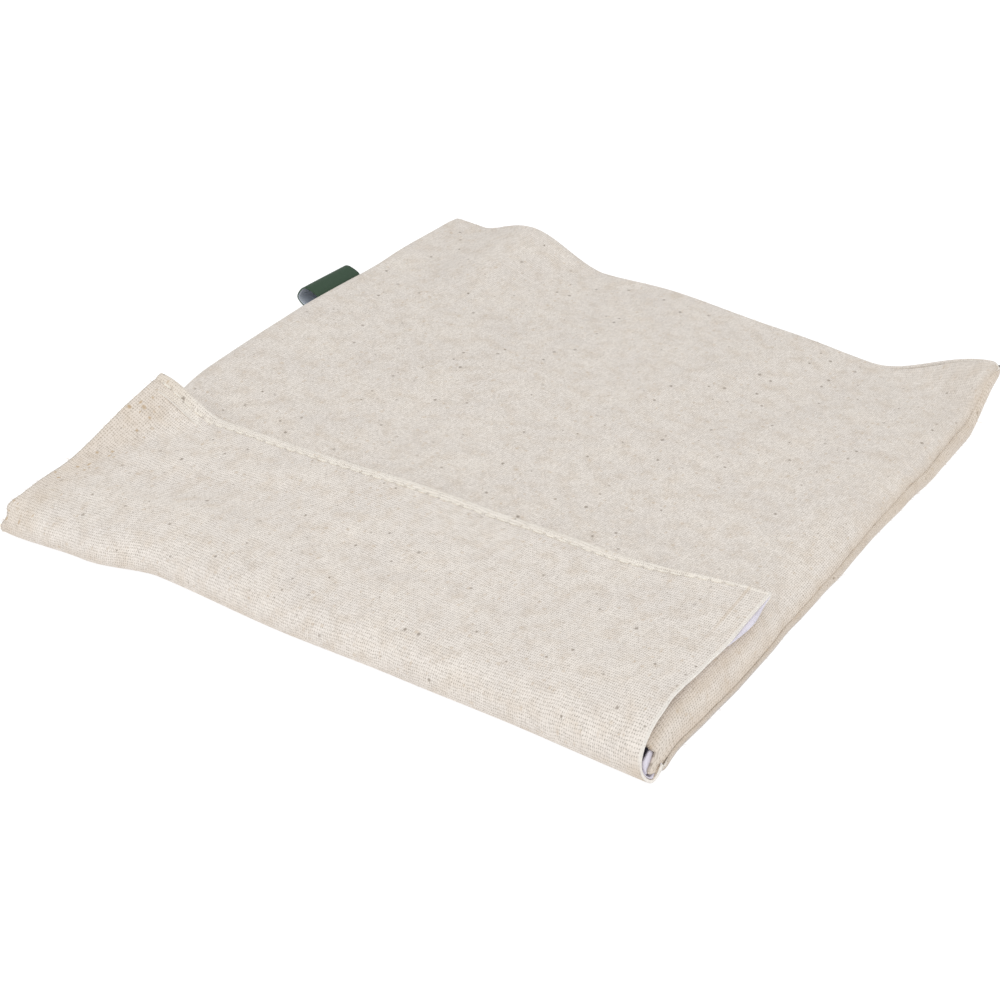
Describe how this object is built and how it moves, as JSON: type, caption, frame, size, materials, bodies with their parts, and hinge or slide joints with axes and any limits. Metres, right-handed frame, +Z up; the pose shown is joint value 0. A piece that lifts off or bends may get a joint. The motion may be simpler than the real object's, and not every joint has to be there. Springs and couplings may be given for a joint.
{
  "type": "insulated pouch",
  "caption": "Flat, empty linen pouch with a white lining, lying with its flap folded over the front and a bare ribbon loop in its side seam.",
  "frame": {"origin": "middle of the underside, on the surface that the pouch lies on", "axes": "+X along the near fold to the right, +Y from the fold to the far seam, +Z up through the layers"},
  "size_m": [0.2113, 0.2184, 0.0202],
  "materials": {
    "linen": "matt, unbleached plain weave with tan slubs and dark flecks",
    "white_lining": "smooth, slightly sheeny coated cloth",
    "ribbon": "fine woven ribbon, bare"
  },
  "bodies": {
    "root": {"back_panel": "linen", "front_panel": "linen", "flap_lining": "white_lining", "mouth_lining": "white_lining", "side_label": "ribbon"}
  },
  "joints": []
}
